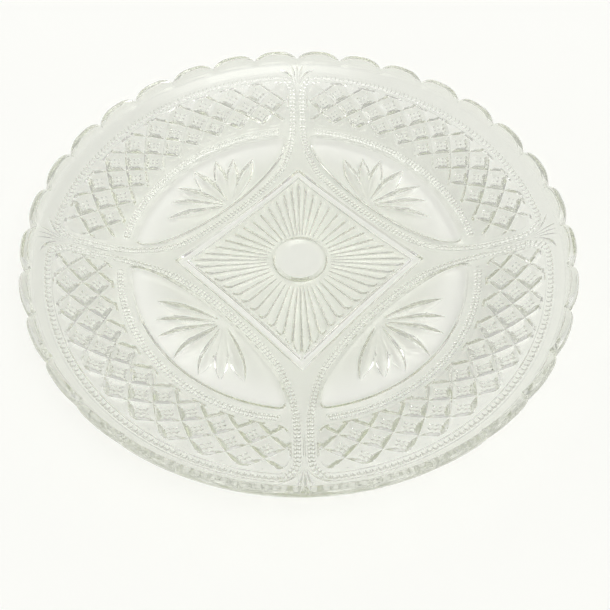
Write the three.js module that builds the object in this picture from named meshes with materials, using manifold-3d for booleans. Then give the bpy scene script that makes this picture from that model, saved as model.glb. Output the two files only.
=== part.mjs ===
// A shallow pressed-glass serving dish: a flat base that curves up into a low wall with a scalloped rim.
// The inside is smooth and the pattern is pressed into the underside: a square foot frame around a round
// medallion and its rays, four hollow leaf panels, four ribs and a wall of hobnails.
// Millimetres, +Z up, origin on the table under the middle of the dish.

import * as THREE from 'three';
import { mergeVertices } from 'three/addons/utils/BufferGeometryUtils.js';
import Module from 'manifold-3d';

// Bowl
const rimRadius = 140;
const notchHeight = 33.5;
const baseRadius = 56;
const footDepth = 1.5;
const baseThickness = 5;
const lipWidth = 4.2;
const lipRounding = 1;

// Scalloped rim
const scallopCount = 32;
const scallopRise = 4.7;
const scallopFlare = 1.05;
const scallopFlatness = 3;

// Square foot frame, medallion and rays
const frameHalfDiagonal = 69;
const frameWidth = 4.6;
const medallionRadius = 13.6;
const medallionProud = 1;
const raysPerSide = 12;
const rayDepth = 0.9;
const rayRidge = 0.8;
const rayClearance = 1.2;

// Leaf panels
const leafOuterRadius = 92.4;
const leafInnerReach = 55.4;
const leafInnerArcRadius = 139;
const leafTipRounding = 5;
const leafDepth = 0.7;

// Ribs between the panels
const ribWidth = 3;
const ribProud = 0.7;

// Hobnails on the wall
const hobnailsPerQuadrant = 11;
const hobnailRings = 3;
const hobnailInnerRadius = 109;
const hobnailRingStep = 6.2;
const hobnailHeight = 1.6;
const hobnailTop = 3.2;
const hobnailGroove = 0.7;
const hobnailRibClearance = 7;

// How deep raised work is rooted in the glass, and how far cutters stand clear of it
const reliefRoot = 1.2;
const cutClearance = 1.5;

// Mesh resolution
const stepsPerScallop = 3;
const wallSteps = 6;
const leafSteps = 8;
const medallionSteps = 32;

const wasm = await Module();
wasm.setup();

function solidFrom(geometry) {
  const bare = geometry.clone();
  bare.deleteAttribute('normal');
  bare.deleteAttribute('uv');
  const merged = mergeVertices(bare, 1e-4);
  const corners = [];
  for (let i = 0; i < merged.index.count; i += 3) {
    const [a, b, c] = merged.index.array.slice(i, i + 3);
    if (a !== b && b !== c && c !== a) corners.push(a, b, c);
  }
  return new wasm.Manifold(new wasm.Mesh({
    numProp: 3,
    vertProperties: new Float32Array(merged.attributes.position.array),
    triVerts: new Uint32Array(corners),
  }));
}

function geometryFrom(solid) {
  const mesh = solid.getMesh();
  const geometry = new THREE.BufferGeometry();
  geometry.setAttribute('position', new THREE.BufferAttribute(mesh.vertProperties, 3));
  geometry.setIndex(new THREE.BufferAttribute(mesh.triVerts, 1));
  geometry.computeVertexNormals();
  return geometry;
}

// Radius of an arc that leaves the flat base level and climbs by the given rise over the given run
function climbRadius(run, rise) {
  return (run * run + rise * rise) / (2 * rise);
}

const lipBase = notchHeight - 2 * lipRounding;
const insideFloor = footDepth + baseThickness;
const midGlass = footDepth + baseThickness / 2;
const underRadius = climbRadius(rimRadius - baseRadius, lipBase - footDepth);
const insideRun = rimRadius - lipWidth - baseRadius;
const insideRadius = climbRadius(insideRun, lipBase - insideFloor);

// Slope of the underside at a distance from the axis
function underSlope(r) {
  return Math.asin(Math.max(0, r - baseRadius) / underRadius);
}

// A point of the underside's curve, as distance from the axis and height, moved outwards from the glass
function underPoint(slope, outwards) {
  const reach = underRadius + outwards;
  return new THREE.Vector2(baseRadius + reach * Math.sin(slope), footDepth + underRadius - reach * Math.cos(slope));
}

// The underside's curve from the edge of the flat base to the rim, moved outwards from the glass
function underCurve(outwards) {
  const points = [];
  for (let i = 0; i <= wallSteps; i++) {
    points.push(underPoint(underSlope(rimRadius) * i / wallSteps, outwards));
  }
  return points;
}

// The inside's curve from the rim down to the edge of the flat base
function insideCurve() {
  const points = [];
  const steepest = Math.asin(insideRun / insideRadius);
  for (let i = wallSteps; i >= 0; i--) {
    const slope = steepest * i / wallSteps;
    const r = baseRadius + insideRadius * Math.sin(slope);
    points.push(new THREE.Vector2(r, insideFloor + insideRadius * (1 - Math.cos(slope))));
  }
  return points;
}

function turned(profile) {
  const lathe = new THREE.LatheGeometry(profile, scallopCount * stepsPerScallop);
  lathe.rotateX(Math.PI / 2);
  return lathe;
}

// How far the rim stands above its notches: 0 in a notch and 1 on top of an arch
function scallopLift(angle) {
  const turn = (angle / (2 * Math.PI) + 1) * scallopCount;
  const fromMiddle = Math.abs(2 * (turn - Math.floor(turn)) - 1);
  return 1 - fromMiddle ** scallopFlatness;
}

// The plain bowl. The lip's points are lifted and leaned out into arches.
function bowl() {
  const shoulder = lipBase + lipRounding;
  const lip = [
    new THREE.Vector2(rimRadius, shoulder),
    new THREE.Vector2(rimRadius - lipRounding, notchHeight),
    new THREE.Vector2(rimRadius - lipWidth + lipRounding, notchHeight),
    new THREE.Vector2(rimRadius - lipWidth, shoulder),
  ];
  const underMiddle = new THREE.Vector2(0, footDepth);
  const insideMiddle = new THREE.Vector2(0, insideFloor);
  const blank = turned([underMiddle, ...underCurve(0), ...lip, ...insideCurve(), insideMiddle]);
  const position = blank.attributes.position;
  for (let i = 0; i < position.count; i++) {
    const height = position.getZ(i);
    if (height < lipBase + lipRounding / 2) continue;
    const angle = Math.atan2(position.getY(i), position.getX(i));
    const lift = scallopLift(angle);
    const r = Math.hypot(position.getX(i), position.getY(i)) + scallopFlare * lift;
    position.setXYZ(i, r * Math.cos(angle), r * Math.sin(angle), height + scallopRise * lift);
  }
  return solidFrom(blank);
}

// A layer along the underside, from one distance outwards to another distance into the glass
function underLayer(outwards, inwards) {
  const low = new THREE.Vector2(0, footDepth - outwards);
  const high = new THREE.Vector2(0, footDepth + inwards);
  return solidFrom(turned([low, ...underCurve(outwards), ...underCurve(-inwards).reverse(), high]));
}

// A plan outline, turned about the axis and made into a solid between two levels
function standing(shape, steps, angle, low, high) {
  const prism = new THREE.ExtrudeGeometry(shape, { depth: high - low, bevelEnabled: false, curveSegments: steps });
  prism.translate(0, 0, low);
  prism.rotateZ(angle);
  return solidFrom(prism);
}

// A plan outline made into a solid that is taller than the dish
function throughout(shape, steps, angle) {
  return standing(shape, steps, angle, -cutClearance, notchHeight + scallopRise);
}

function squareShape(halfDiagonal) {
  return new THREE.Shape([
    new THREE.Vector2(halfDiagonal, 0),
    new THREE.Vector2(0, halfDiagonal),
    new THREE.Vector2(-halfDiagonal, 0),
    new THREE.Vector2(0, -halfDiagonal),
  ]);
}

const frameInnerHalfDiagonal = frameHalfDiagonal - frameWidth * Math.SQRT2;

// The square band that the dish stands on, with a corner towards each rib
function footFrame() {
  const band = squareShape(frameHalfDiagonal);
  band.holes.push(squareShape(frameInnerHalfDiagonal));
  return standing(band, 1, 0, 0, midGlass);
}

function medallion() {
  const height = midGlass - footDepth + medallionProud;
  const disc = new THREE.CylinderGeometry(medallionRadius, medallionRadius, height, medallionSteps);
  disc.rotateX(Math.PI / 2);
  disc.translate(0, 0, midGlass - height / 2);
  return solidFrom(disc);
}

// A three-sided cutter with its point at one end, which deepens to the ridge at the other
function flute(point, left, right, ridge) {
  const geometry = new THREE.BufferGeometry();
  geometry.setFromPoints([point, left, right, ridge]);
  geometry.setIndex([0, 2, 1, 0, 1, 3, 1, 2, 3, 2, 0, 3]);
  return solidFrom(geometry);
}

// Flutes evenly spaced along one side of the square, which point at the medallion
function rayCutters(quarter) {
  const low = footDepth - cutClearance / 2;
  const reach = frameInnerHalfDiagonal - rayClearance * Math.SQRT2;
  const from = new THREE.Vector3(reach * Math.cos(quarter), reach * Math.sin(quarter), low);
  const to = new THREE.Vector3(-reach * Math.sin(quarter), reach * Math.cos(quarter), low);
  const halfRidge = rayRidge / (2 * reach * Math.SQRT2);
  const cutters = [];
  for (let i = 0; i < raysPerSide; i++) {
    const left = from.clone().lerp(to, i / raysPerSide + halfRidge);
    const right = from.clone().lerp(to, (i + 1) / raysPerSide - halfRidge);
    const ridge = left.clone().lerp(right, 0.5).setZ(footDepth + rayDepth);
    const point = ridge.clone().setZ(0).setLength(medallionRadius + rayClearance).setZ(low);
    cutters.push(flute(point, left, right, ridge));
  }
  return cutters;
}

// A leaf along +X: an outer arc about the dish's axis and a shallower inner arc, with rounded tips
function leafShape() {
  const innerCentre = leafInnerReach + leafInnerArcRadius;
  const tipX = (innerCentre ** 2 + leafOuterRadius ** 2 - leafInnerArcRadius ** 2) / (2 * innerCentre);
  const tipY = Math.sqrt(leafOuterRadius ** 2 - tipX ** 2);
  const outerStop = Math.atan2(tipY, tipX) - leafTipRounding / leafOuterRadius;
  const innerStop = Math.atan2(tipY, innerCentre - tipX) - leafTipRounding / leafInnerArcRadius;
  const innerX = innerCentre - leafInnerArcRadius * Math.cos(innerStop);
  const innerY = leafInnerArcRadius * Math.sin(innerStop);
  const outerX = leafOuterRadius * Math.cos(outerStop);
  const outerY = leafOuterRadius * Math.sin(outerStop);
  const shape = new THREE.Shape();
  shape.absarc(0, 0, leafOuterRadius, -outerStop, outerStop, false);
  shape.quadraticCurveTo(tipX, tipY, innerX, innerY);
  shape.absarc(innerCentre, 0, leafInnerArcRadius, Math.PI - innerStop, Math.PI + innerStop, false);
  shape.quadraticCurveTo(tipX, -tipY, outerX, -outerY);
  return shape;
}

// A strip along +X from inside the frame's corner to the rim
function ribShape() {
  const start = frameHalfDiagonal - frameWidth;
  return new THREE.Shape([
    new THREE.Vector2(start, -ribWidth / 2),
    new THREE.Vector2(rimRadius, -ribWidth / 2),
    new THREE.Vector2(rimRadius, ribWidth / 2),
    new THREE.Vector2(start, ribWidth / 2),
  ]);
}

// A four-sided hobnail with its points up, down and to the sides, square to the wall
function hobnail(r, angle) {
  const slope = underSlope(r);
  const base = underPoint(slope, -reliefRoot);
  const halfAcross = r * Math.PI / (4 * hobnailsPerQuadrant) - hobnailGroove;
  const halfAlong = hobnailRingStep / Math.cos(slope) - hobnailGroove;
  const height = reliefRoot + hobnailHeight;
  const nail = new THREE.CylinderGeometry(hobnailTop / (2 * halfAlong), 1, height, 4);
  nail.scale(halfAlong, 1, halfAcross);
  nail.translate(0, height / 2, 0);
  nail.rotateX(-Math.PI / 2);
  nail.rotateY(-slope);
  nail.translate(base.x, 0, base.y);
  nail.rotateZ(angle);
  return solidFrom(nail);
}

// Rings of hobnails in one quadrant, each ring set between the nails of the ring below
function hobnails(quarter) {
  const pitch = Math.PI / (2 * hobnailsPerQuadrant);
  const nails = [];
  for (let ring = 0; ring < hobnailRings; ring++) {
    const r = hobnailInnerRadius + ring * hobnailRingStep;
    const shift = ring % 2 === 0 ? 0.5 : 0;
    for (let i = 0; i < hobnailsPerQuadrant; i++) {
      const angle = (i + shift) * pitch;
      const fromRib = r * Math.sin(Math.min(angle, Math.PI / 2 - angle));
      if (fromRib > hobnailRibClearance) nails.push(hobnail(r, quarter + angle));
    }
  }
  return nails;
}

const quarters = [0, 1, 2, 3].map((turn) => turn * Math.PI / 2);
const leafMiddle = Math.PI / 4;
const leafLayer = underLayer(cutClearance, leafDepth);
const ribLayer = underLayer(ribProud, reliefRoot);

let glass = bowl();
for (const quarter of quarters) {
  glass = glass.subtract(throughout(leafShape(), leafSteps, quarter + leafMiddle).intersect(leafLayer));
  for (const cutter of rayCutters(quarter)) glass = glass.subtract(cutter);
  glass = glass.add(throughout(ribShape(), 1, quarter).intersect(ribLayer));
  for (const nail of hobnails(quarter)) glass = glass.add(nail);
}
glass = glass.add(footFrame()).add(medallion());

const clearGlass = new THREE.MeshStandardMaterial({ color: 0xe9eee6, roughness: 0.05, metalness: 0 });
const dish = new THREE.Mesh(geometryFrom(glass), clearGlass);
dish.name = 'dish';

const part = new THREE.Group();
part.add(dish);

export default part;
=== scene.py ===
import math

import bpy
import numpy as np
from mathutils import Matrix, Vector
from mathutils.geometry import delaunay_2d_cdt


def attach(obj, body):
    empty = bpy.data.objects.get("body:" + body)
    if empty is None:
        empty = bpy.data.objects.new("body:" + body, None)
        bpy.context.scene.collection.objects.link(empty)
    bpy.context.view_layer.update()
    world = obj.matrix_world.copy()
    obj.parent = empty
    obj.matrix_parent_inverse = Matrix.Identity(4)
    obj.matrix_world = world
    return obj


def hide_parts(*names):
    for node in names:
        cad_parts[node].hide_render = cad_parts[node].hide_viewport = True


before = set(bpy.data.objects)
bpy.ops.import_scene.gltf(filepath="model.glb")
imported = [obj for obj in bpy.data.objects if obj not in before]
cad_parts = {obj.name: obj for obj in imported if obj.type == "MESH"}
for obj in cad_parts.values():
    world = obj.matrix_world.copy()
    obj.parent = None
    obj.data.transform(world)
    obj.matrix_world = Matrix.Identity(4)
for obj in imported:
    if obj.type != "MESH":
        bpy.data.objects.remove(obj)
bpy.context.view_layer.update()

scene = bpy.context.scene
scene.view_settings.view_transform = "Standard"
mm = 0.001
root2 = math.sqrt(2)


# camera: looks down on the dish from the near side
camera = dict(
    azimuth=-2.332, elevation=57.393, roll=1.409,  # degrees
    target=(2.3, -27.1, -1.2), distance=337.3,  # mm
    lens=36.488, sensor=36.0, clip=(0.01, 20),
)


def placeCamera():
    az, el, roll = (math.radians(camera[k]) for k in ("azimuth", "elevation", "roll"))
    back = Vector((math.sin(az) * math.cos(el), -math.cos(az) * math.cos(el), math.sin(el)))
    right = Vector((math.cos(az), math.sin(az), 0))
    up = back.cross(right)
    camX = right * math.cos(roll) + up * math.sin(roll)
    camY = up * math.cos(roll) - right * math.sin(roll)
    data = bpy.data.cameras.new("photoCamera")
    data.sensor_width = camera["sensor"]
    data.lens = camera["lens"]
    data.clip_start, data.clip_end = camera["clip"]
    made = bpy.data.objects.new("photoCamera", data)
    spot = (Vector(camera["target"]) + back * camera["distance"]) * mm
    made.matrix_world = Matrix.Translation(spot) @ Matrix((camX, camY, back)).transposed().to_4x4()
    scene.collection.objects.link(made)
    scene.camera = made


placeCamera()
print("camera placed")


# a socket that can be used in sums, and the one way that other nodes are added
class Wire:
    def __init__(self, tree, socket=None):
        self.tree = tree
        self.socket = socket

    def node(self, kind, settings=None, output=0, **inputs):
        made = self.tree.nodes.new(kind)
        for name, value in (settings or {}).items():
            setattr(made, name, value)
        for name, value in inputs.items():
            self.plug(made, name, value)
        return Wire(self.tree, made.outputs[output] if made.outputs else None)

    def plug(self, made, name, value):
        words = name.replace("_", " ")
        sockets = [s for s in made.inputs if s.enabled and s.name == words]
        socket = sockets[0] if sockets else made.inputs[int(name.lstrip("i"))]
        if isinstance(value, Wire):
            self.tree.links.new(value.socket, socket)
        else:
            socket.default_value = value

    def sum(self, operation, first, second):
        return self.node("ShaderNodeMath", dict(operation=operation), i0=first, i1=second)

    def __add__(self, other):
        return self.sum("ADD", self, other)

    def __radd__(self, other):
        return self.sum("ADD", other, self)

    def __sub__(self, other):
        return self.sum("SUBTRACT", self, other)

    def __rsub__(self, other):
        return self.sum("SUBTRACT", other, self)

    def __mul__(self, other):
        return self.sum("MULTIPLY", self, other)

    def __rmul__(self, other):
        return self.sum("MULTIPLY", other, self)

    def __truediv__(self, other):
        return self.sum("DIVIDE", self, other)

    def __rtruediv__(self, other):
        return self.sum("DIVIDE", other, self)

    def mix(self, low, high):  # two colours, mixed by this value
        return self.node("ShaderNodeMix", dict(data_type="RGBA"), output=2, Factor=self, A=low, B=high)


def newMaterial(name):
    made = bpy.data.materials.new(name)
    made.use_nodes = True
    made.node_tree.nodes.clear()
    return made, Wire(made.node_tree)


# clear pressed glass, in metres: a faint green-grey tint, deepest at the rim; painted light makes it palest
# on the plain fields, the square frame and the medallion
glass = dict(
    paleTint=(0.894, 0.902, 0.874, 1), deepTint=(0.87, 0.878, 0.845, 1), cloudScale=38.0, cloudDetail=3.0,
    medallionPaintedLight=(0.915, 0.92, 0.90, 1), medallionPaintedLightRadius=0.0135, medallionPaintedLightFade=0.001,  # medallion: painted light, a paler tint over it
    fieldPaintedLight=(0.95, 0.952, 0.94, 1), fieldFade=0.004, fieldReach=(0.067, 0.094),  # leaves: painted light, a paler tint in the outer part of each
    frameFade=0.0015, framePaintedLightPart=0.9,  # square frame: painted light, a paler tint there too
    rimTint=(0.838, 0.848, 0.808, 1), rimRadius=0.132, rimFade=0.006,
    ior=1.5, smooth=0.0, dull=0.02,
    ripple=0.1, rippleDepth=0.00025, rippleScale=95.0, rippleDetail=1.5,
    bodyTint=(0.74, 0.77, 0.60, 1), bodyDensity=6.5,
)


def noise(place, scale, detail):
    return place.node("ShaderNodeTexNoise", Vector=place, Scale=scale, Detail=detail)


def fade(value, low, high):  # 0 below low, 1 above high
    return value.node("ShaderNodeMapRange", dict(interpolation_type="SMOOTHSTEP"),
                      Value=value, From_Min=low, From_Max=high, To_Min=0.0, To_Max=1.0)


def beyond(away, radius, soft):  # 0 inside a circle and 1 outside it, from the square of the distance
    return away.node("ShaderNodeMapRange", Value=away, From_Min=(radius - soft) ** 2,
                     From_Max=(radius + soft) ** 2, To_Min=0.0, To_Max=1.0)


def paintedLightFields(w, x, y):  # where painted light pales the glass: 1 on the square frame and in the outer part of each leaf
    ax, ay = (w.node("ShaderNodeMath", dict(operation="ABSOLUTE"), i0=side) for side in (x, y))
    s, t = (ax + ay) / root2, (ax - ay) / root2
    off = s - (leaf["innerReach"] + leaf["innerArc"]) * mm
    inner = leaf["innerArc"] * mm - w.node("ShaderNodeMath", dict(operation="SQRT"), i0=off * off + t * t)
    r = w.node("ShaderNodeMath", dict(operation="SQRT"), i0=x * x + y * y)
    rib = w.node("ShaderNodeMath", dict(operation="MINIMUM"), i0=ax, i1=ay) - leaf["ribGap"] * mm
    soft = glass["fieldFade"]
    field = fade(inner, 0.0, soft) * fade(leaf["outerRadius"] * mm - r, 0.0, soft) * fade(rib, 0.0, soft)
    field = field * fade(r, *glass["fieldReach"])
    edge = glass["frameFade"]
    outer = square["side"] * mm
    inside = outer - square["band"] * mm
    onFrame = fade(s, inside - edge, inside) * fade(outer + edge - s, 0.0, edge)
    return field + onFrame * glass["framePaintedLightPart"]


def clearGlass():
    made, w = newMaterial("clearGlass")
    place = w.node("ShaderNodeTexCoord", output="Object")
    clouds = noise(place, glass["cloudScale"], glass["cloudDetail"])
    ripples = noise(place, glass["rippleScale"], glass["rippleDetail"])
    bump = w.node("ShaderNodeBump", Height=ripples, Strength=glass["ripple"], Distance=glass["rippleDepth"])
    x = w.node("ShaderNodeSeparateXYZ", output="X", Vector=place)
    y = w.node("ShaderNodeSeparateXYZ", output="Y", Vector=place)
    away = x * x + y * y
    tint = clouds.mix(glass["paleTint"], glass["deepTint"])
    # painted light: the tint is paler over the medallion
    tint = beyond(away, glass["medallionPaintedLightRadius"], glass["medallionPaintedLightFade"]).mix(glass["medallionPaintedLight"], tint)
    # painted light: the tint is paler on the square frame and in the outer part of each leaf
    tint = paintedLightFields(w, x, y).mix(tint, glass["fieldPaintedLight"])
    tint = beyond(away, glass["rimRadius"], glass["rimFade"]).mix(tint, glass["rimTint"])
    body = w.node(
        "ShaderNodeBsdfPrincipled",
        Base_Color=tint,
        Roughness=glass["smooth"] + clouds * (glass["dull"] - glass["smooth"]),
        Normal=bump, IOR=glass["ior"], Transmission_Weight=1.0,
    )
    inner = w.node("ShaderNodeVolumeAbsorption", Color=glass["bodyTint"], Density=glass["bodyDensity"])
    w.node("ShaderNodeOutputMaterial", Surface=body, Volume=inner)
    return made


# the dish before any pattern, in mm: the same form as the solid model
dish = dict(
    rimRadius=140.0, notchHeight=33.5, baseRadius=56.0, footDepth=1.5, baseThickness=5.0,
    lipWidth=4.2, lipDrop=2.0, lipOuter=2.0, lipInner=0.4,
    scallops=32, scallopRise=4.7, scallopFlare=1.05, archPower=3.04, stepsPerScallop=16,
    lipBends=(0, 22, 45, 67, 90), steepest=0.999,  # degrees, and the sine of the steepest wall
)
lipBase = dish["notchHeight"] - dish["lipDrop"]
innerRim = dish["rimRadius"] - dish["lipWidth"]
floorHeight = dish["footDepth"] + dish["baseThickness"]


def climbRadius(run, rise):  # radius of the arc that leaves level ground and climbs by rise over run
    return (run * run + rise * rise) / (2 * rise)


underArc = climbRadius(dish["rimRadius"] - dish["baseRadius"], lipBase - dish["footDepth"])
insideArc = climbRadius(innerRim - dish["baseRadius"], lipBase - floorHeight)


def climbRun(r, arc):
    return np.clip(r - dish["baseRadius"], 0, dish["steepest"] * arc)


def climb(r, arc):
    run = climbRun(r, arc)
    return arc - np.sqrt(arc * arc - run * run)


def underHeight(r):
    return dish["footDepth"] + climb(r, underArc)


def underTilt(r):  # slope of the underside, as an angle
    return np.arcsin(climbRun(r, underArc) / underArc)


def insideHeight(r):
    return floorHeight + climb(r, insideArc)


# The pattern repeats in eighths, each between a rib (along X) and the middle of a leaf (at 45 degrees).
# In an eighth, s runs along the leaf's middle and t across it.
def leafAxes(x, y):
    return (x + y) / root2, (x - y) / root2


def fromLeafAxes(s, t):
    return (s + t) / root2, (s - t) / root2


def roundedInside(radius, *depths):  # depth inside a shape whose sides meet in rounded corners
    nearest = np.minimum.reduce(depths)
    over = sum(np.maximum(radius - d, 0) ** 2 for d in depths)
    return np.where(nearest < radius, radius - np.sqrt(over), nearest)


# slides points until the field has that level
def settle(path, field, level, rounds=14, e=1e-3, leastSlope=0.05):
    path = np.array(path, float)
    for _ in range(rounds):
        x, y = path.T
        gx = (field(x + e, y) - field(x - e, y)) / (2 * e)
        gy = (field(x, y + e) - field(x, y - e)) / (2 * e)
        miss = (field(x, y) - level) / np.maximum(gx * gx + gy * gy, leastSlope)
        path -= np.stack((miss * gx, miss * gy), 1)
    return path


def evenly(path, step):  # the same path with its points a step apart
    path = np.asarray(path, float)
    along = np.concatenate(([0], np.cumsum(np.hypot(*np.diff(path, axis=0).T))))
    at = np.linspace(0, along[-1], max(2, int(round(along[-1] / step)) + 1))
    return np.stack((np.interp(at, along, path[:, 0]), np.interp(at, along, path[:, 1])), 1)


def contour(guess, field, level, step):
    return settle(evenly(settle(guess, field, level), step), field, level)


def arcPath(radius, fromAngle, toAngle, count=60):
    a = np.radians(np.linspace(fromAngle, toAngle, count))
    return np.stack((radius * np.cos(a), radius * np.sin(a)), 1)


def profile(across, *stops):  # height across a moulding, from (place, height) stops
    places, heights = zip(*stops)
    return np.interp(across, places, heights)


def onto(path, near=0.02):  # points that all but touch an eighth's straight sides go onto them
    path = np.array(path, float)
    path[np.abs(path[:, 1]) < near, 1] = 0
    level = np.abs(path[:, 0] - path[:, 1]) < near
    path[level] = path[level].mean(1, keepdims=True)
    return path


# how finely an eighth is meshed, in mm, and how many decimals count
meshing = dict(underSpacing=2.6, insideSpacing=5.0, rimGap=0.5, weld=2e-4, snap=2e-3, tiny=1e-6,
               planDecimals=2, weldDecimals=4, batch=200)
# loose dots: their rows, and how far they keep from lines, rim and sides, in parts of the spacing
fill = dict(row=0.866, fromLines=0.5, fromRim=0.5, sideEnd=0.3, fromRib=0.45, fromLeaf=0.6)


class Plan:  # lines and dots of the pattern on one eighth, seen from above
    def __init__(self):
        self.points = []
        self.edges = []
        self.creases = []

    def line(self, path, crease=True):
        path = onto(path)
        for a, b in zip(path[:-1], path[1:]):
            lo, hi = 0.0, 1.0
            for fa, fb in ((a[1], b[1]), (a[0] - a[1], b[0] - b[1])):  # the rib's side, the leaf's side
                if fa < 0 and fb < 0:
                    lo = 2.0
                elif fa < 0:
                    lo = max(lo, fa / (fa - fb))
                elif fb < 0:
                    hi = min(hi, fa / (fa - fb))
            if lo < hi:
                self.edges.append((len(self.points), len(self.points) + 1))
                self.points += [tuple(a + (b - a) * lo), tuple(a + (b - a) * hi)]
                self.creases.append(crease)

    def dots(self, x, y):
        x, y = onto(np.stack((np.ravel(x), np.ravel(y)), 1)).T
        tiny = meshing["tiny"]
        within = np.hypot(x, y) < dish["rimRadius"] - meshing["rimGap"]
        keep = (y > -tiny) & (x - y > -tiny) & within
        self.points += list(zip(x[keep], y[keep]))


# square foot frame: the flat band that the dish stands on, with slightly hollow sides
square = dict(side=47.4, bow=1.1, bowReach=48.3, band=3.3, step=1.0, bevel=0.9,
              raySide=42.2, rayBow=1.5, rayReach=43.6, rayLevel=0.1,  # the field of rays inside the frame
              lineReach=60.0, linePoints=41)


def squareEdge(t):
    return square["side"] + square["bow"] * (t / square["bowReach"]) ** 2


def rayEdge(t):
    return square["raySide"] + square["rayBow"] * (t / square["rayReach"]) ** 2


def squareHeight(x, y):
    s, t = leafAxes(x, y)
    foot = underHeight(np.hypot(x, y))
    depth = squareEdge(t) - s
    flat = profile(depth, (-square["bevel"], 0), (0, 1), (square["band"], 1))
    step = 1 - np.clip((depth - square["band"]) / square["step"], 0, 1)
    inner = square["rayLevel"] + (foot - square["rayLevel"]) * step
    return np.where(depth < square["band"], foot * flat, inner)


def squareLines(plan):
    t = np.linspace(0, square["lineReach"], square["linePoints"])  # past the corner, where the plan cuts it
    for edge in (-square["bevel"], 0, square["band"], square["band"] + square["step"]):
        s = squareEdge(t) - edge
        plan.line(np.stack(fromLeafAxes(s, t), 1))


# medallion and the rays that run from it to the square
medallion = dict(flat=11.9, proud=1.2, edge=14.5, edgeProud=0.25, grooveAt=15.2, groove=0.35, ring=16.6)
rays = dict(perSide=12, height=1.35, round=0.86, endGap=0.3, ramp=3.0, start=2.5,
            dotsAcross=(-0.9, -0.72, -0.4, 0, 0.4, 0.72, 0.9),  # from one groove to the next
            dotsAlong=(0.05, *np.linspace(0.1, 0.77, 15), 0.81, 0.85, 0.885, 0.92, 0.945, 0.967, 0.984))
rayEnds = np.linspace(0, square["rayReach"], rays["perSide"] // 2 + 1)
rayAngles = np.arctan2(rayEnds, rayEdge(rayEnds))


def rayHeight(x, y):
    s, t = leafAxes(x, y)
    r = np.hypot(x, y)
    angle = np.arctan2(t, s)
    steps = np.interp(angle, rayAngles, np.arange(len(rayAngles)))
    across = 2 * (steps - np.floor(np.minimum(steps, len(rayAngles) - 1 - 1e-9))) - 1  # -1 to 1 over a ray
    reach = np.interp(angle, rayAngles, np.hypot(rayEnds, rayEdge(rayEnds)))
    half = square["rayReach"] / rays["perSide"]
    bend = np.sqrt(np.clip(1 - across ** 2, 0, 1))
    end = reach - rays["endGap"] - half * (1 - bend)  # round outer end of each ray
    fall = np.sin(np.clip((end - r) / rays["ramp"], 0, 1) * math.pi / 2)
    start = np.clip((r - medallion["ring"]) / rays["start"], 0, 1)
    low = math.sqrt(1 - rays["round"] ** 2)
    reed = (np.sqrt(1 - (rays["round"] * across) ** 2) - low) / (1 - low)
    return square["rayLevel"] + rays["height"] * r / reach * reed * fall * start


def medallionHeight(r):
    return profile(r, (medallion["flat"], medallion["proud"]), (medallion["edge"], medallion["edgeProud"]),
                   (medallion["grooveAt"], -medallion["groove"]), (medallion["ring"], square["rayLevel"]))


def rayLines(plan):
    for radius in (medallion["flat"], medallion["edge"], medallion["grooveAt"], medallion["ring"]):
        plan.line(arcPath(radius, -4, 49, 27))  # a little past the eighth, where the plan cuts it
    ring = medallion["ring"]
    stations = np.array((0.0, *rays["dotsAlong"], 1.0))
    for end in rayEnds[1:]:
        edge = np.array(fromLeafAxes(rayEdge(end), end))
        reach = np.hypot(*edge)
        plan.line(edge / reach * (ring + (reach - ring) * stations)[:, None])
    across = np.array(rays["dotsAcross"])
    for first, last in zip(rayAngles[:-1], rayAngles[1:]):
        a = first + (last - first) * (across + 1) / 2
        reach = np.interp(a, rayAngles, np.hypot(rayEnds, rayEdge(rayEnds)))
        for part in rays["dotsAlong"]:
            r = ring + part * (reach - ring)
            plan.dots(*fromLeafAxes(r * np.cos(a), r * np.sin(a)))
    plan.dots(*arcPath(medallion["flat"] / 2, 0, 45, 5).T)


# leaf panel: a lens-shaped cushion with a groove round it, and a fan of cut petals in it
leaf = dict(outerRadius=93.6, innerReach=56.3, innerArc=170.8, ribGap=7.2, rounding=5.0,
            groove=0.9, lip=2.4, bevel=1.2, cushion=12.0, drop=0.3,
            lineStep=1.2, dotStep=2.4, dotRows=(4.0, 6.5, 9.5, 13.0, 17.0))  # rows in from the edge
fan = dict(focus=57.8, angles=(0.0, 27.2, 45.3, 63.8), lengths=(33.5, 34.6, 35.4, 38.1),
           halfWidths=(5.0, 4.2, 3.9, 4.0), widest=0.62, footPower=0.9, tipPower=1.8,
           slope=0.3, wall=1.2, wallPower=3, ridge=(3.0, 29.0, 18),  # mm from, mm to, points
           linesAcross=(-1, -0.88, -0.72, -0.4, 0, 0.4, 0.72, 0.88, 1),
           pointsAlong=(*np.linspace(0.12, 0.9, 14), 0.94, 0.97, 1.0))


def leafDepth(x, y):
    s, t = leafAxes(x, y)
    inner = leaf["innerArc"] - np.hypot(s - leaf["innerReach"] - leaf["innerArc"], t)
    return roundedInside(leaf["rounding"], leaf["outerRadius"] - np.hypot(x, y), inner, y - leaf["ribGap"])


def petalWidth(part, half):  # half-width of a petal, pointed at both ends
    rise = np.sin(np.clip(part / fan["widest"], 0, 1) * math.pi / 2) ** fan["footPower"]
    fall = 1 - np.clip((part - fan["widest"]) / (1 - fan["widest"]), 0, 1) ** fan["tipPower"]
    return half * rise * fall


def petalPlace(x, y, angle, length):  # part of the way along a petal, and mm across it
    s, t = leafAxes(x, y)
    c, k = math.cos(math.radians(angle)), math.sin(math.radians(angle))
    along = (s - fan["focus"]) * c + t * k
    return along / length, t * c - (s - fan["focus"]) * k


def petals():  # angle, length and half-width of each petal, from one end of the fan to the other
    sides = list(zip(fan["angles"], fan["lengths"], fan["halfWidths"]))
    return [(-angle, length, half) for angle, length, half in sides[:0:-1]] + sides


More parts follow.
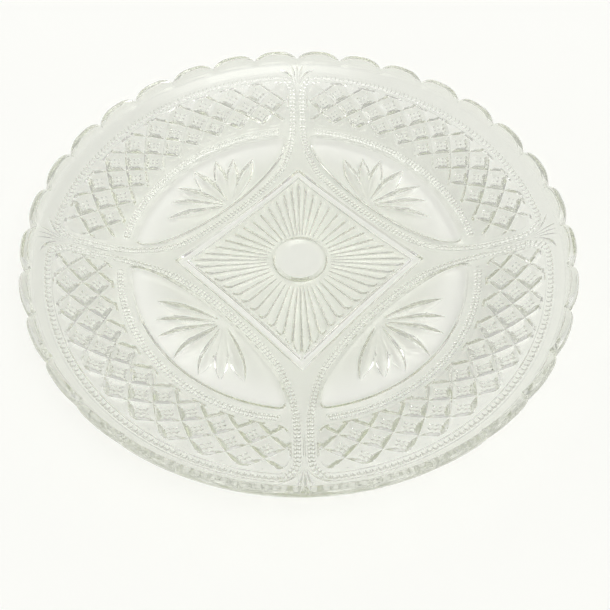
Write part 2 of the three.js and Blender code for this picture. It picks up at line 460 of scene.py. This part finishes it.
# depth of a petal: two facets that meet along its middle and steepen towards its sides
def petalCut(x, y, angle, length, half):
    part, across = petalPlace(x, y, angle, length)
    wide = np.maximum(petalWidth(part, half), 1e-6)
    off = np.abs(across)
    steep = (wide - off * np.clip(off / wide, 0, 1) ** fan["wallPower"]) / (fan["wallPower"] + 1)
    depth = fan["slope"] * (wide - off) + fan["wall"] * steep
    return np.where((part > 0) & (part < 1), depth, -1.0)


def leafHeight(x, y):
    d = leafDepth(x, y)
    edge = profile(d, (-leaf["lip"], 0), (0, -leaf["groove"]), (leaf["bevel"], -leaf["drop"]))
    fall = 1 - np.clip((d - leaf["bevel"]) / (leaf["cushion"] - leaf["bevel"]), 0, 1)
    cut = np.maximum.reduce([petalCut(x, y, *petal) for petal in petals()])
    return np.where(d < leaf["bevel"], edge, -leaf["drop"] * fall ** 2 - np.maximum(cut, 0))


def drawWhere(plan, path, keep, crease=True):  # only the stretches of a path that are kept
    for a, b, both in zip(path[:-1], path[1:], keep[:-1] & keep[1:]):
        if both:
            plan.line((a, b), crease)


def leafLines(plan):
    inner = np.array(((62, 52), (60, 40), (57, 20), (56, 0), (56, -8)))  # rough places, which contour mends
    guess = np.concatenate((arcPath(leaf["outerRadius"] - 0.5, 48, 6), np.stack(fromLeafAxes(*inner.T), 1)))
    for level in (-leaf["lip"], 0.0, leaf["bevel"]):
        plan.line(contour(guess, leafDepth, level, leaf["lineStep"]))
    for level in leaf["dotRows"]:
        plan.dots(*contour(guess, leafDepth, level, leaf["dotStep"]).T)
    part = np.array(fan["pointsAlong"])
    fanned = petals()
    for petal in fanned:
        angle, length, half = petal
        c, k = math.cos(math.radians(angle)), math.sin(math.radians(angle))
        for side in fan["linesAcross"]:
            across = side * petalWidth(part, half)
            s = fan["focus"] + part * length * c - across * k
            t = part * length * k + across * c
            path = np.stack(fromLeafAxes(s, t), 1)
            others = np.maximum.reduce([petalCut(*path.T, *other) for other in fanned if other != petal])
            own = np.maximum(petalCut(*path.T, *petal), 0) if abs(side) < 1 else 0
            drawWhere(plan, path, others < own, crease=side in (-1, 0, 1))
    for one, two in zip(fanned[:-1], fanned[1:]):  # the ridges between neighbours
        middle = math.radians((one[0] + two[0]) / 2)
        r = np.linspace(*fan["ridge"])
        guess = np.stack(fromLeafAxes(fan["focus"] + r * math.cos(middle), r * math.sin(middle)), 1)
        ridge = settle(guess, lambda x, y: petalCut(x, y, *one) - petalCut(x, y, *two), 0.0)
        drawWhere(plan, ridge, petalCut(*ridge.T, *one) > 0)


# bead bands: a loop round each quarter of the dish, and a second band along the leaf's outer edge
loop = dict(rimRadius=131.4, ribGap=3.1, innerReach=51.8, innerArc=190.4, rounding=9.8, corner=1.2)
leafBand = dict(radius=98.4, ribGap=9.5, rounding=2.0, endGap=1.6)
band = dict(half=2.6, crest=0.6, ridge=0.12, bed=1.1, sunk=0.08, lineStep=2.0)
beads = dict(pitch=2.25, rowGap=1.9, radius=0.8, height=0.42, outerHeight=0.7, wall=(60, 95),
             pathStep=0.2, rings=((1.0, 9), (0.93, 9), (0.6, 6)))  # rings: part of the radius, points
rimBeads = dict(pitch=2.85, radius=1.22, height=0.6)


def loopDepth(x, y):
    s, t = leafAxes(x, y)
    inner = loop["innerArc"] - np.hypot(s - loop["innerReach"] - loop["innerArc"], t)
    return roundedInside(loop["rounding"], loop["rimRadius"] - np.hypot(x, y), inner, y - loop["ribGap"])


def loopBand(x, y):
    return band["half"] - np.abs(loopDepth(x, y))


def leafBandDepth(x, y):
    r = np.hypot(x, y)
    across = band["half"] - np.abs(r - leafBand["radius"])
    return roundedInside(leafBand["rounding"], across, y - leafBand["ribGap"])


def bandHeight(depth):
    return profile(depth, (0, 0), (band["crest"], band["ridge"]), (band["bed"], -band["sunk"]))


def loopGuess():  # a rough path round the loop, which contour mends
    t = np.linspace(-8, 43, 30)
    inner = np.stack(fromLeafAxes(loop["innerReach"] + 0.5 + t * t / (2 * loop["innerArc"]), t), 1)
    rib = np.stack((np.linspace(86, 118, 20), np.full(20, loop["ribGap"])), 1)
    return np.concatenate((inner, rib, arcPath(loop["rimRadius"] - 0.3, 5, 49)))


def beadSpots():  # where each bead stands: x, y, radius, height
    spots = []
    step = beads["pathStep"]
    path = evenly(contour(loopGuess(), loopDepth, 0.0, 2 * step), step)
    path = path[(path[:, 0] >= path[:, 1] - 1e-9)]
    along = np.concatenate(([0], np.cumsum(np.hypot(*np.diff(path, axis=0).T))))
    turn = np.gradient(path, axis=0)
    side = np.stack((-turn[:, 1], turn[:, 0]), 1) / np.hypot(turn[:, 0], turn[:, 1])[:, None]
    corner = along[np.argmax(np.hypot(path[:, 0], path[:, 1]) > loop["rimRadius"] - loop["corner"])]

    def stand(start, stop, pitch, offsets, radius, top):
        count = int(round((stop - start) / pitch))
        at = start + (np.arange(count) + 0.5) * (stop - start) / count
        for offset in offsets:
            x = np.interp(at, along, path[:, 0] + offset * side[:, 0])
            y = np.interp(at, along, path[:, 1] + offset * side[:, 1])
            spots.extend((px, py, radius, top(px, py)) for px, py in zip(x, y))

    pair = (-beads["rowGap"] / 2, beads["rowGap"] / 2)
    stand(0, corner, beads["pitch"], pair, beads["radius"], beadTop)
    stand(corner, along[-1], rimBeads["pitch"], (0,), rimBeads["radius"], rimBeadTop)
    arc = leafBand["radius"]
    low = math.asin((leafBand["ribGap"] + leafBand["endGap"]) / arc)
    count = int(round((math.pi / 4 - low) * arc / beads["pitch"]))
    for row in pair:
        a = math.pi / 4 - (np.arange(count) + 0.5) * beads["pitch"] / arc
        spots.extend((px, py, beads["radius"], beadTop(px, py))
                     for px, py in zip((arc + row) * np.cos(a), (arc + row) * np.sin(a)))
    return np.array(spots)


def beadTop(x, y):  # beads stand taller on the wall than on the base
    return np.interp(np.hypot(x, y), beads["wall"], (beads["height"], beads["outerHeight"]))


def rimBeadTop(x, y):
    return rimBeads["height"]


beadTable = beadSpots()
print("beads in one eighth:", len(beadTable))


def beadHeight(x, y):
    height = np.zeros_like(x)
    for px, py, radius, top in beadTable:
        near = np.flatnonzero((np.abs(x - px) < radius) & (np.abs(y - py) < radius))
        away = np.hypot(x[near] - px, y[near] - py) / radius
        height[near] = np.maximum(height[near], top * np.sqrt(np.clip(1 - away ** 2, 0, 1)))
    return height


def bandLines(plan):
    guess = loopGuess()
    for level in (band["half"], band["half"] - band["crest"], band["half"] - band["bed"]):
        plan.line(contour(guess, loopDepth, level, band["lineStep"]))
        plan.line(contour(guess, loopDepth, -level, band["lineStep"]))
    arc = leafBand["radius"]
    guess = np.concatenate((arcPath(arc + 1.5, 48, 6.2), arcPath(arc - 1.5, 6.2, 48)))  # rough
    for level in (0.0, band["crest"], band["bed"]):
        plan.line(contour(guess, leafBandDepth, level, band["lineStep"]))
    for px, py, radius, top in beadTable:
        for part, count in beads["rings"]:
            a = np.linspace(0, 2 * math.pi, count)
            ring = np.stack((px + radius * part * np.cos(a), py + radius * part * np.sin(a)), 1)
            plan.line(ring, crease=False)
        plan.dots([px], [py])


# hobnail panel: lozenges between crossed cuts, each whole one with a grid of small points on top
hobnail = dict(perQuarter=11, innerRow=103.1, rowStep=6.7, half=3.3, slope=0.23, steepen=0.55,
               panelOuter=128.0, panelInner=103.2, ribGap=6.6, rounding=7.0, border=1.2, borderHalf=0.8,
               flankLines=(1, 0.8, 0.63), sidePoints=7, cornerPoints=4, lineGap=0.2,
               rows=5, turns=(-12, 2), lineStep=1.6, dotStep=1.4, dotRows=(0.6, 1.3))
hatch = dict(across=2, reach=0.42, height=0.88, slack=0.01, clear=3.4)
halfTurn = 45.0 / hobnail["perQuarter"]  # degrees from a lozenge's middle to its side corner
lozengeWide = math.radians(halfTurn) * (hobnail["innerRow"] + 2 * hobnail["rowStep"])
lozengeIn = lozengeWide * hobnail["rowStep"] / math.hypot(lozengeWide, hobnail["rowStep"])  # middle to side


def panelDepth(x, y):
    r = np.hypot(x, y)
    return roundedInside(hobnail["rounding"], hobnail["panelOuter"] - r, y - hobnail["ribGap"],
                         r - hobnail["panelInner"])


def latticePlace(x, y):  # steps round the dish and steps outward
    turn = (np.degrees(np.arctan2(y, x)) - 45) / halfTurn
    return turn, (np.hypot(x, y) - hobnail["innerRow"]) / hobnail["rowStep"]


def fromLattice(turn, row):
    r = hobnail["innerRow"] + hobnail["rowStep"] * np.asarray(row, float)
    a = np.radians(45 + halfTurn * np.asarray(turn, float))
    return r * np.cos(a), r * np.sin(a)


def hatchHeight(a, b):
    p, q = (hatch["across"] / 2 * c / hatch["reach"] for c in (a, b))
    off = np.maximum(np.abs(p - np.round(p)), np.abs(q - np.round(q)))
    within = np.maximum(np.abs(a), np.abs(b)) < hatch["reach"] + hatch["slack"]
    return np.where(within, hatch["height"] * (1 - 2 * off), 0)


def hobnailHeight(x, y):
    turn, row = latticePlace(x, y)
    u, v = (turn + row) / 2, (turn - row) / 2
    a, b = 2 * (u - np.floor(u)) - 1, 2 * (v - np.floor(v)) - 1  # -1 to 1 between grooves
    cut = hobnail["half"] - lozengeIn * (1 - np.maximum(np.abs(a), np.abs(b)))
    inside = panelDepth(x, y)
    cut = np.maximum(np.maximum(cut, hobnail["borderHalf"] - inside), 0)
    height = -cut * (hobnail["slope"] + hobnail["steepen"] * cut / (2 * hobnail["half"]))
    middle = fromLattice(np.floor(u) + np.floor(v) + 1, np.floor(u) - np.floor(v))
    height += np.where(panelDepth(*middle) > hatch["clear"], hatchHeight(a, b), 0)
    return height * np.clip(1 + inside / hobnail["border"], 0, 1)


def lozengeLine(plan, turn, row, a, b, crease=True):  # a line on one lozenge, between its grooves
    a, b = np.broadcast_arrays(a, b)
    path = np.stack(fromLattice(turn + (a + b) / 2, row + (a - b) / 2), 1)
    drawWhere(plan, path, panelDepth(*path.T) > hobnail["lineGap"], crease)


def lozengeLines(plan, turn, row):
    along = np.linspace(-1, 1, hobnail["sidePoints"])
    reach = hatch["reach"]
    for size in hobnail["flankLines"]:  # from the groove up
        for side in (size, -size):
            lozengeLine(plan, turn, row, side, size * along, crease=size == 1)
            lozengeLine(plan, turn, row, size * along, side, crease=size == 1)
    corner = np.linspace(reach, 1, hobnail["cornerPoints"])
    for p, q in ((1, 1), (1, -1), (-1, 1), (-1, -1)):
        lozengeLine(plan, turn, row, p * corner, q * corner)
    if panelDepth(*fromLattice(turn, row)) > hatch["clear"]:
        for cut in np.linspace(-reach, reach, hatch["across"] + 1):
            lozengeLine(plan, turn, row, cut, reach * along)
            lozengeLine(plan, turn, row, reach * along, cut)
        middles = (np.arange(hatch["across"]) + 0.5) / hatch["across"] * 2 * reach - reach
        a, b = (c.ravel() for c in np.meshgrid(middles, middles))
        plan.dots(*fromLattice(turn + (a + b) / 2, row + (a - b) / 2))


def hobnailLines(plan):  # the border from a rough path, then lozenge by lozenge
    rib = np.stack((np.linspace(104, 122, 12), np.full(12, hobnail["ribGap"] + 0.4)), 1)
    guess = np.concatenate((arcPath(hobnail["panelInner"] + 0.4, 49, 5), rib,
                            arcPath(hobnail["panelOuter"] - 0.4, 5, 49)))
    for level in (-hobnail["border"], 0.0):
        plan.line(contour(guess, panelDepth, level, hobnail["lineStep"]))
    for level in hobnail["dotRows"]:
        plan.dots(*contour(guess, panelDepth, level, hobnail["dotStep"]).T)
    for row in range(hobnail["rows"]):
        for turn in range(*hobnail["turns"]):
            if (turn + row) % 2:
                lozengeLines(plan, turn, row)


# short grooves that fan out where each rib meets the rim
spray = dict(slope=0.8, swell=1.6, points=11, strokes=(  # foot, tip, half width, bend
    ((125.5, 0.0), (137.4, 0.0), 0.8, 0.0),
    ((125.8, 0.6), (137.2, 3.6), 0.8, -0.3),
    ((125.5, 0.4), (134.6, 11.2), 1.0, -1.9)))


def sprayHeight(x, y):
    cut = np.zeros_like(x)
    for foot, tip, wide, bend in spray["strokes"]:
        way = np.subtract(tip, foot)
        length = math.hypot(*way)
        along = np.clip(((x - foot[0]) * way[0] + (y - foot[1]) * way[1]) / length ** 2, 0, 1)
        across = ((y - foot[1]) * way[0] - (x - foot[0]) * way[1]) / length - bend * np.sin(along * math.pi)
        half = wide * np.sin(along ** spray["swell"] * math.pi)
        cut = np.maximum(cut, spray["slope"] * (half - np.abs(across)))
    return -np.maximum(cut, 0)


def sprayLines(plan):
    part = np.linspace(0, 1, spray["points"])
    for foot, tip, wide, bend in spray["strokes"]:
        way = np.subtract(tip, foot)
        side = np.array((-way[1], way[0])) / math.hypot(*way)
        for lean in (-1, 0, 1):
            off = bend * np.sin(part * math.pi) + lean * wide * np.sin(part ** spray["swell"] * math.pi)
            plan.line(foot + part[:, None] * way + off[:, None] * side)


def reliefHeight(x, y):  # how far the pattern stands out of the underside
    r = np.hypot(x, y)
    s, t = leafAxes(x, y)
    height = sprayHeight(x, y)
    height = np.where(panelDepth(x, y) > -hobnail["border"], hobnailHeight(x, y), height)
    height = np.where(leafDepth(x, y) > -leaf["lip"], leafHeight(x, y), height)
    bands = np.maximum(leafBandDepth(x, y), loopBand(x, y))
    height = np.where(bands > 0, bandHeight(bands), height)
    proud = beadHeight(x, y)
    height = np.where(proud > 0, proud - band["sunk"], height)
    height = np.where(s < squareEdge(t) + square["bevel"], squareHeight(x, y), height)
    height = np.where(s < rayEdge(t), rayHeight(x, y), height)
    return np.where(r < medallion["ring"], medallionHeight(r), height)


# one eighth of the rim: angles crowd towards the notches, where the arches turn fastest
def rimAngles():
    steps = dish["stepsPerScallop"]
    part = (1 - np.cos(np.arange(steps) / steps * math.pi)) / 2
    count = dish["scallops"] // 8
    turn = np.concatenate([k + part for k in range(count)] + [[count]])
    return turn / count * math.pi / 4, 1 - np.abs(2 * (turn % 1) - 1) ** dish["archPower"]


def triangulate(plan, ring):  # faces over an eighth, which keep to the plan's lines and the rim's ring
    edge = [(0.0, 0.0)] + [tuple(p) for p in ring]
    sides = [(k, (k + 1) % len(edge)) for k in range(len(edge))]
    drawn = np.round(plan.points, meshing["planDecimals"])
    points = [Vector(p) for p in edge + [tuple(p) for p in drawn]]
    edges = sides + [(a + len(edge), b + len(edge)) for a, b in plan.edges]
    creased = [False] * len(sides) + plan.creases
    flat, outEdges, faces, fromPoint, fromEdge, _ = delaunay_2d_cdt(points, edges, [], 0, meshing["weld"])
    xy = onto([tuple(p) for p in flat], meshing["snap"])
    ringAt = np.zeros(len(ring), int)
    for k, sources in enumerate(fromPoint):
        for source in sources:
            if 1 <= source <= len(ring):
                xy[k] = ring[source - 1]
                ringAt[source - 1] = k
    sharp = [e for e, sources in zip(outEdges, fromEdge)
             if any(source < len(creased) and creased[source] for source in sources)]
    return xy, np.array(faces), np.array(sharp).reshape(-1, 2), ringAt


def fillDots(plan, spacing, reach):  # loose dots that keep clear of the pattern's lines
    rise = spacing * fill["row"]
    across = np.arange(0, reach, spacing)
    rows = np.arange(0, reach / rise) * rise
    x = np.concatenate([across + (k % 2) * spacing / 2 for k in range(len(rows))])
    y = np.repeat(rows, len(across))
    keep = (y <= x) & (np.hypot(x, y) < reach - spacing * fill["fromRim"])
    side = np.arange(spacing / 2, reach - spacing * fill["sideEnd"], spacing)  # along the two straight sides
    x = np.concatenate((side, side / root2, x[keep]))
    y = np.concatenate((0 * side, side / root2, y[keep]))
    loose = (y > spacing * fill["fromRib"]) & (x - y > spacing * fill["fromLeaf"])
    inner = (x == y) | (y == 0) | loose
    x, y = x[inner], y[inner]
    clear = np.ones(len(x), bool)
    if plan.points:
        have = np.array(plan.points)
        for k in range(0, len(x), meshing["batch"]):
            part = slice(k, k + meshing["batch"])
            near = np.hypot(x[part, None] - have[None, :, 0], y[part, None] - have[None, :, 1]).min(1)
            clear[part] = near > spacing * fill["fromLines"]
    plan.dots(x[clear], y[clear])


def underside(around):
    plan = Plan()
    for draw in (squareLines, rayLines, leafLines, bandLines, hobnailLines, sprayLines):
        draw(plan)
    fillDots(plan, meshing["underSpacing"], dish["rimRadius"])
    xy, faces, sharp, ring = triangulate(plan, around * dish["rimRadius"])
    print("underside of one eighth:", len(xy), "points,", len(faces), "faces")
    r = np.hypot(*xy.T)
    height = reliefHeight(*xy.T)
    height[ring] = 0
    tilt = underTilt(r)
    grow = 1 + height * np.sin(tilt) / np.maximum(r, 1)
    grow[ring] = 1
    points = np.column_stack((xy * grow[:, None], underHeight(r) - height * np.cos(tilt)))
    return points, faces[:, ::-1], sharp, ring


def innerFace(around):
    plan = Plan()
    fillDots(plan, meshing["insideSpacing"], innerRim)
    xy, faces, _, ring = triangulate(plan, around * innerRim)
    return np.column_stack((xy, insideHeight(np.hypot(*xy.T)))), faces, ring


def lipProfile():  # radius and height, from the outer edge over the lip to the inner edge
    outer, inner, top, edge = (dish[k] for k in ("lipOuter", "lipInner", "notchHeight", "rimRadius"))
    bend = np.radians(dish["lipBends"])
    over = [(edge - outer + outer * math.cos(a), top - outer + outer * math.sin(a)) for a in bend]
    back = [(innerRim + inner - inner * math.cos(a), top - inner + inner * math.sin(a)) for a in bend[::-1]]
    return over + back


def oneEighth():
    angles, lift = rimAngles()
    around = np.stack((np.cos(angles), np.sin(angles)), 1)
    around[0] = (1, 0)
    around[-1] = math.sqrt(0.5)
    under, underFaces, sharp, underRing = underside(around)
    inside, insideFaces, insideRing = innerFace(around)
    points = [under, inside]
    triangles = [underFaces, insideFaces + len(under)]
    rows = [underRing]
    at = len(under) + len(inside)
    for radius, height in lipProfile():  # lifted along each scallop
        reach = radius + lift * dish["scallopFlare"]
        points.append(np.column_stack((around * reach[:, None], height + lift * dish["scallopRise"])))
        rows.append(at + np.arange(len(angles)))
        at += len(angles)
    rows.append(insideRing + len(under))
    for low, high in zip(rows[:-1], rows[1:]):
        a, b, c, d = low[:-1], low[1:], high[1:], high[:-1]
        triangles.append(np.concatenate((np.stack((a, b, c), 1), np.stack((a, c, d), 1))))
    creases = [sharp] + [np.stack((row[:-1], row[1:]), 1) for row in (rows[0], rows[-1])]
    return np.concatenate(points), np.concatenate(triangles), np.concatenate(creases)


def allEighths(points, triangles, creases):  # mirror images in turn, welded where they meet
    allPoints, allTriangles, allCreases = [], [], []
    for quarter in range(4):
        for flip in (False, True):
            x, y = (points[:, 1], points[:, 0]) if flip else (points[:, 0], points[:, 1])
            x, y = ((x, y), (-y, x), (-x, -y), (y, -x))[quarter]
            first = len(allPoints) * len(points)
            allPoints.append(np.column_stack((x, y, points[:, 2])))
            allTriangles.append((triangles[:, ::-1] if flip else triangles) + first)
            allCreases.append(creases + first)
    allPoints = np.concatenate(allPoints) + 0.0
    rounded = np.round(allPoints, meshing["weldDecimals"]) + 0.0
    _, keep, where = np.unique(rounded, axis=0, return_index=True, return_inverse=True)
    where = where.ravel()
    allTriangles = where[np.concatenate(allTriangles)]
    whole = (allTriangles != np.roll(allTriangles, 1, axis=1)).all(1)
    return allPoints[keep], allTriangles[whole], where[np.concatenate(allCreases)]


def markCreases(mesh, creases):
    ends = np.zeros(2 * len(mesh.edges), int)
    mesh.edges.foreach_get("vertices", ends)
    count = len(mesh.vertices)
    low, high = np.sort(ends.reshape(-1, 2), 1).T
    creaseLow, creaseHigh = np.sort(creases, 1).T
    flags = mesh.attributes.new("sharp_edge", "BOOLEAN", "EDGE")
    flags.data.foreach_set("value", np.isin(low * count + high, creaseLow * count + creaseHigh))


def buildDish(material):
    points, triangles, creases = allEighths(*oneEighth())
    mesh = bpy.data.meshes.new("glassDish")
    mesh.vertices.add(len(points))
    mesh.vertices.foreach_set("co", (points * mm).ravel())
    mesh.loops.add(3 * len(triangles))
    mesh.loops.foreach_set("vertex_index", triangles.ravel())
    mesh.polygons.add(len(triangles))
    mesh.polygons.foreach_set("loop_start", np.arange(0, 3 * len(triangles), 3))
    mesh.update(calc_edges=True)
    mesh.polygons.foreach_set("use_smooth", np.ones(len(triangles), bool))
    markCreases(mesh, creases)
    mesh.validate()
    mesh.materials.append(material)
    made = bpy.data.objects.new("glassDish", mesh)
    scene.collection.objects.link(made)
    print("dish:", len(points), "points,", len(triangles), "faces")
    return made


dishPiece = buildDish(clearGlass())
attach(dishPiece, "root")
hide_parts("dish")


# pale floor, white to the camera and through the glass, that keeps a soft shadow
floor = dict(size=4.0, gap=0.0001, white=(0.98, 0.98, 0.96, 1), shadowPart=0.9,
             grainScale=6.0, grainDetail=2.0, grainShade=0.99)


def makeFloor():
    made, w = newMaterial("whiteTable")
    place = w.node("ShaderNodeTexCoord", output="Object")
    grain = noise(place, floor["grainScale"], floor["grainDetail"])
    darker = tuple(floor["grainShade"] * c for c in floor["white"])
    shade = w.node("ShaderNodeBsdfPrincipled", Base_Color=grain.mix(floor["white"], darker),
                   Roughness=1.0, Specular_IOR_Level=0.0)
    lit = w.node("ShaderNodeEmission", Color=floor["white"], Strength=1.0)
    toCamera = w.node("ShaderNodeLightPath", output="Is Camera Ray")
    toGlossy = w.node("ShaderNodeLightPath", output="Is Glossy Ray")
    toGlass = w.node("ShaderNodeLightPath", output="Is Transmission Ray")
    seen = (toCamera + toGlossy + toGlass) * (1 - floor["shadowPart"])
    w.node("ShaderNodeOutputMaterial", Surface=w.node("ShaderNodeMixShader", i0=seen, i1=shade, i2=lit))
    half, low = floor["size"] / 2, -floor["gap"]
    mesh = bpy.data.meshes.new("table")
    corners = [(-half, -half, low), (half, -half, low), (half, half, low), (-half, half, low)]
    mesh.from_pydata(corners, [], [(0, 1, 2, 3)])
    mesh.materials.append(made)
    table = bpy.data.objects.new("table", mesh)
    scene.collection.objects.link(table)


makeFloor()


# soft studio light: a room that is palest at the horizon, and a broad bright patch from the near side
light = dict(room=(0.56, 0.56, 0.55, 1), horizon=(0.95, 0.95, 0.93, 1), soft=(2.75, 2.75, 2.7, 1),
             domeFrom=0.05, domeTo=0.75, softAzimuth=25.0, softElevation=62.0, softCore=8.0, softEdge=33.0,
             lampPower=0.2, lampSpread=25.0, bounces=32)


def makeLight():
    az, el = math.radians(light["softAzimuth"]), math.radians(light["softElevation"])
    toLamp = Vector((math.sin(az) * math.cos(el), -math.cos(az) * math.cos(el), math.sin(el)))
    world = bpy.data.worlds.new("studio")
    world.use_nodes = True
    world.node_tree.nodes.clear()
    w = Wire(world.node_tree)
    way = w.node("ShaderNodeTexCoord", output="Generated")
    tall = w.node("ShaderNodeSeparateXYZ", output="Z", Vector=way)
    dome = fade(tall, light["domeFrom"], light["domeTo"])
    near = w.node("ShaderNodeVectorMath", dict(operation="DOT_PRODUCT"), output="Value",
                  i0=way, i1=tuple(toLamp))
    glow = fade(near, math.cos(math.radians(light["softEdge"])), math.cos(math.radians(light["softCore"])))
    sky = glow.mix(dome.mix(light["horizon"], light["room"]), light["soft"])
    room = w.node("ShaderNodeBackground", Color=sky, Strength=1.0)
    plain = w.node("ShaderNodeBackground", Color=floor["white"], Strength=1.0)
    toCamera = w.node("ShaderNodeLightPath", output="Is Camera Ray")
    w.node("ShaderNodeOutputWorld", Surface=w.node("ShaderNodeMixShader", i0=toCamera, i1=room, i2=plain))
    scene.world = world
    data = bpy.data.lights.new("softLamp", "SUN")  # a wide, soft, even light from the near side
    data.energy = light["lampPower"]
    data.angle = math.radians(light["lampSpread"])
    lamp = bpy.data.objects.new("softLamp", data)
    lamp.rotation_euler = toLamp.to_track_quat("Z", "Y").to_euler()
    scene.collection.objects.link(lamp)


makeLight()
scene.cycles.max_bounces = light["bounces"]  # light crosses the glass many times before it leaves
scene.cycles.transmission_bounces = light["bounces"]
scene.cycles.glossy_bounces = light["bounces"]
scene.cycles.blur_glossy = 0  # keeps the bright and dark patches that the glass casts on the floor
print("floor and light made")
